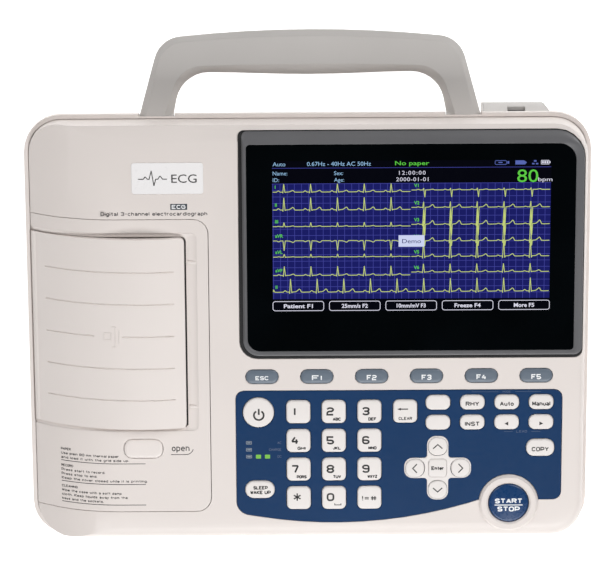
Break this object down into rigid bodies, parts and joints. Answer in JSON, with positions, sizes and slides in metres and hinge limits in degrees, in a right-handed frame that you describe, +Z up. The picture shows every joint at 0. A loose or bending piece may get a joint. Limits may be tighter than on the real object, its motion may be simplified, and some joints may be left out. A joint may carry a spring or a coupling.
{
  "type": "ecg machine",
  "caption": "Tabletop electrocardiograph with a sloping panel, large screen, keypad, side-opening paper recorder and a swinging rear carrying handle.",
  "frame": {"origin": "centre of the overall bounding box at table height", "axes": "+X to the user's right, +Y to the rear where the handle is, +Z up"},
  "size_m": [0.315, 0.2884, 0.0819],
  "materials": {
    "casing_white": "fine moulded texture, warm off-white",
    "handle_grey": "satin light grey",
    "bezel_grey": "satin dark grey",
    "screen_glass": "polished black",
    "field_blue": "satin dark blue",
    "key_white": "satin off-white",
    "key_grey": "satin blue-grey",
    "key_blue": "satin blue",
    "steel": "plain",
    "rubber": "matt black",
    "circuit_board": "green solder mask",
    "dark_plastic": "matt black"
  },
  "bodies": {
    "base": {"bottom_shell": "casing_white", "top_shell": "casing_white", "screen_bezel": "bezel_grey", "screen_glass": "screen_glass", "lcd_module": "dark_plastic", "keypad_plate": "field_blue", "keypad_board": "circuit_board", "printer_frame": "casing_white", "cover_hinge_pin": "steel", "paper_motor": "steel", "print_head": "steel", "main_board": "circuit_board", "battery_pack": "dark_plastic", "battery_cover": "casing_white", "port_housing": "handle_grey", "mains_inlet": "dark_plastic", "patient_socket": "dark_plastic", "foot_strip_front": "rubber", "foot_strip_rear": "rubber"},
    "handle": {"handle": "handle_grey"},
    "printer_cover": {"printer_cover": "casing_white"},
    "platen_roller": {"platen_roller": "rubber"},
    "motor_pinion": {"motor_pinion": "steel"},
    "open_button": {"open_button": "casing_white"},
    "key_start_stop": {"key_start_stop": "key_blue"},
    "key_enter": {"key_enter": "key_white"},
    "key_esc": {"key_esc": "key_grey"},
    "key_5": {"key_5": "key_white"},
    "key_power": {"key_power": "key_white"},
    "key_copy": {"key_copy": "key_white"},
    "key_clear": {"key_clear": "key_white"},
    "key_auto": {"key_auto": "key_white"},
    "key_up": {"key_up": "key_white"},
    "key_sleep": {"key_sleep": "key_white"},
    "key_f1": {"key_f1": "key_grey"},
    "key_1": {"key_1": "key_white"},
    "key_2": {"key_2": "key_white"},
    "key_3": {"key_3": "key_white"},
    "key_4": {"key_4": "key_white"},
    "key_6": {"key_6": "key_white"},
    "key_7": {"key_7": "key_white"},
    "key_8": {"key_8": "key_white"},
    "key_9": {"key_9": "key_white"},
    "key_star": {"key_star": "key_white"},
    "key_0": {"key_0": "key_white"},
    "key_hash": {"key_hash": "key_white"},
    "key_blank_upper": {"key_blank_upper": "key_white"},
    "key_rhythm": {"key_rhythm": "key_white"},
    "key_manual": {"key_manual": "key_white"},
    "key_blank_lower": {"key_blank_lower": "key_white"},
    "key_insert": {"key_insert": "key_white"},
    "key_page_left": {"key_page_left": "key_white"},
    "key_page_right": {"key_page_right": "key_white"},
    "key_down": {"key_down": "key_white"},
    "key_left": {"key_left": "key_white"},
    "key_right": {"key_right": "key_white"},
    "key_f2": {"key_f2": "key_grey"},
    "key_f3": {"key_f3": "key_grey"},
    "key_f4": {"key_f4": "key_grey"},
    "key_f5": {"key_f5": "key_grey"}
  },
  "joints": [
    {"name": "handle_swing", "type": "hinge", "parent": "base", "child": "handle", "pos_m": [0, 0.0925, 0.0544], "axis": [1, 0, 0], "range_deg": [-80, 0]},
    {"name": "cover_hinge", "type": "hinge", "parent": "base", "child": "printer_cover", "pos_m": [-0.1522, -0.02127, 0.04325], "axis": [0, -0.9833, -0.1822], "range_deg": [0, 100]},
    {"name": "open_press", "type": "slide", "parent": "base", "child": "open_button", "axis": [0, 0.1822, -0.9833], "range_m": [0, 0.002], "stiffness_N_per_m": 800, "springref_m": -0.001},
    {"name": "start_press", "type": "slide", "parent": "base", "child": "key_start_stop", "axis": [0, 0.1822, -0.9833], "range_m": [0, 0.0015], "stiffness_N_per_m": 800, "springref_m": -0.001},
    {"name": "platen_spin", "type": "hinge", "parent": "printer_cover", "child": "platen_roller", "pos_m": [-0.0735, -0.02479, 0.05562], "axis": [0, 0.9833, 0.1822], "continuous": true},
    {"name": "pinion_spin", "type": "hinge", "parent": "base", "child": "motor_pinion", "pos_m": [-0.07574, -0.07116, 0.0397], "axis": [0, 0.9833, 0.1822], "continuous": true},
    {"name": "key_enter_press", "type": "slide", "parent": "base", "child": "key_enter", "axis": [0, 0.1822, -0.9833], "range_m": [0, 0.0015], "stiffness_N_per_m": 500, "springref_m": -0.001},
    {"name": "key_esc_press", "type": "slide", "parent": "base", "child": "key_esc", "axis": [0, 0.1822, -0.9833], "range_m": [0, 0.0015], "stiffness_N_per_m": 500, "springref_m": -0.001},
    {"name": "key_5_press", "type": "slide", "parent": "base", "child": "key_5", "axis": [0, 0.1822, -0.9833], "range_m": [0, 0.0015], "stiffness_N_per_m": 500, "springref_m": -0.001},
    {"name": "key_power_press", "type": "slide", "parent": "base", "child": "key_power", "axis": [0, 0.1822, -0.9833], "range_m": [0, 0.0015], "stiffness_N_per_m": 500, "springref_m": -0.001},
    {"name": "key_copy_press", "type": "slide", "parent": "base", "child": "key_copy", "axis": [0, 0.1822, -0.9833], "range_m": [0, 0.0015], "stiffness_N_per_m": 500, "springref_m": -0.001},
    {"name": "key_clear_press", "type": "slide", "parent": "base", "child": "key_clear", "axis": [0, 0.1822, -0.9833], "range_m": [0, 0.0015], "stiffness_N_per_m": 500, "springref_m": -0.001},
    {"name": "key_auto_press", "type": "slide", "parent": "base", "child": "key_auto", "axis": [0, 0.1822, -0.9833], "range_m": [0, 0.0015], "stiffness_N_per_m": 500, "springref_m": -0.001},
    {"name": "key_up_press", "type": "slide", "parent": "base", "child": "key_up", "axis": [0, 0.1822, -0.9833], "range_m": [0, 0.0015], "stiffness_N_per_m": 500, "springref_m": -0.001},
    {"name": "key_sleep_press", "type": "slide", "parent": "base", "child": "key_sleep", "axis": [0, 0.1822, -0.9833], "range_m": [0, 0.0015], "stiffness_N_per_m": 500, "springref_m": -0.001},
    {"name": "key_f1_press", "type": "slide", "parent": "base", "child": "key_f1", "axis": [0, 0.1822, -0.9833], "range_m": [0, 0.0015], "stiffness_N_per_m": 500, "springref_m": -0.001},
    {"name": "key_1_press", "type": "slide", "parent": "base", "child": "key_1", "axis": [0, 0.1822, -0.9833], "range_m": [0, 0.0015], "stiffness_N_per_m": 500, "springref_m": -0.001},
    {"name": "key_2_press", "type": "slide", "parent": "base", "child": "key_2", "axis": [0, 0.1822, -0.9833], "range_m": [0, 0.0015], "stiffness_N_per_m": 500, "springref_m": -0.001},
    {"name": "key_3_press", "type": "slide", "parent": "base", "child": "key_3", "axis": [0, 0.1822, -0.9833], "range_m": [0, 0.0015], "stiffness_N_per_m": 500, "springref_m": -0.001},
    {"name": "key_4_press", "type": "slide", "parent": "base", "child": "key_4", "axis": [0, 0.1822, -0.9833], "range_m": [0, 0.0015], "stiffness_N_per_m": 500, "springref_m": -0.001},
    {"name": "key_6_press", "type": "slide", "parent": "base", "child": "key_6", "axis": [0, 0.1822, -0.9833], "range_m": [0, 0.0015], "stiffness_N_per_m": 500, "springref_m": -0.001},
    {"name": "key_7_press", "type": "slide", "parent": "base", "child": "key_7", "axis": [0, 0.1822, -0.9833], "range_m": [0, 0.0015], "stiffness_N_per_m": 500, "springref_m": -0.001},
    {"name": "key_8_press", "type": "slide", "parent": "base", "child": "key_8", "axis": [0, 0.1822, -0.9833], "range_m": [0, 0.0015], "stiffness_N_per_m": 500, "springref_m": -0.001},
    {"name": "key_9_press", "type": "slide", "parent": "base", "child": "key_9", "axis": [0, 0.1822, -0.9833], "range_m": [0, 0.0015], "stiffness_N_per_m": 500, "springref_m": -0.001},
    {"name": "key_star_press", "type": "slide", "parent": "base", "child": "key_star", "axis": [0, 0.1822, -0.9833], "range_m": [0, 0.0015], "stiffness_N_per_m": 500, "springref_m": -0.001},
    {"name": "key_0_press", "type": "slide", "parent": "base", "child": "key_0", "axis": [0, 0.1822, -0.9833], "range_m": [0, 0.0015], "stiffness_N_per_m": 500, "springref_m": -0.001},
    {"name": "key_hash_press", "type": "slide", "parent": "base", "child": "key_hash", "axis": [0, 0.1822, -0.9833], "range_m": [0, 0.0015], "stiffness_N_per_m": 500, "springref_m": -0.001},
    {"name": "key_blank_upper_press", "type": "slide", "parent": "base", "child": "key_blank_upper", "axis": [0, 0.1822, -0.9833], "range_m": [0, 0.0015], "stiffness_N_per_m": 500, "springref_m": -0.001},
    {"name": "key_rhythm_press", "type": "slide", "parent": "base", "child": "key_rhythm", "axis": [0, 0.1822, -0.9833], "range_m": [0, 0.0015], "stiffness_N_per_m": 500, "springref_m": -0.001},
    {"name": "key_manual_press", "type": "slide", "parent": "base", "child": "key_manual", "axis": [0, 0.1822, -0.9833], "range_m": [0, 0.0015], "stiffness_N_per_m": 500, "springref_m": -0.001},
    {"name": "key_blank_lower_press", "type": "slide", "parent": "base", "child": "key_blank_lower", "axis": [0, 0.1822, -0.9833], "range_m": [0, 0.0015], "stiffness_N_per_m": 500, "springref_m": -0.001},
    {"name": "key_insert_press", "type": "slide", "parent": "base", "child": "key_insert", "axis": [0, 0.1822, -0.9833], "range_m": [0, 0.0015], "stiffness_N_per_m": 500, "springref_m": -0.001},
    {"name": "key_page_left_press", "type": "slide", "parent": "base", "child": "key_page_left", "axis": [0, 0.1822, -0.9833], "range_m": [0, 0.0015], "stiffness_N_per_m": 500, "springref_m": -0.001},
    {"name": "key_page_right_press", "type": "slide", "parent": "base", "child": "key_page_right", "axis": [0, 0.1822, -0.9833], "range_m": [0, 0.0015], "stiffness_N_per_m": 500, "springref_m": -0.001},
    {"name": "key_down_press", "type": "slide", "parent": "base", "child": "key_down", "axis": [0, 0.1822, -0.9833], "range_m": [0, 0.0015], "stiffness_N_per_m": 500, "springref_m": -0.001},
    {"name": "key_left_press", "type": "slide", "parent": "base", "child": "key_left", "axis": [0, 0.1822, -0.9833], "range_m": [0, 0.0015], "stiffness_N_per_m": 500, "springref_m": -0.001},
    {"name": "key_right_press", "type": "slide", "parent": "base", "child": "key_right", "axis": [0, 0.1822, -0.9833], "range_m": [0, 0.0015], "stiffness_N_per_m": 500, "springref_m": -0.001},
    {"name": "key_f2_press", "type": "slide", "parent": "base", "child": "key_f2", "axis": [0, 0.1822, -0.9833], "range_m": [0, 0.0015], "stiffness_N_per_m": 500, "springref_m": -0.001},
    {"name": "key_f3_press", "type": "slide", "parent": "base", "child": "key_f3", "axis": [0, 0.1822, -0.9833], "range_m": [0, 0.0015], "stiffness_N_per_m": 500, "springref_m": -0.001},
    {"name": "key_f4_press", "type": "slide", "parent": "base", "child": "key_f4", "axis": [0, 0.1822, -0.9833], "range_m": [0, 0.0015], "stiffness_N_per_m": 500, "springref_m": -0.001},
    {"name": "key_f5_press", "type": "slide", "parent": "base", "child": "key_f5", "axis": [0, 0.1822, -0.9833], "range_m": [0, 0.0015], "stiffness_N_per_m": 500, "springref_m": -0.001}
  ],
  "couplings": [
    {"joint": "pinion_spin", "follows": "platen_spin", "ratio": -1.4}
  ]
}
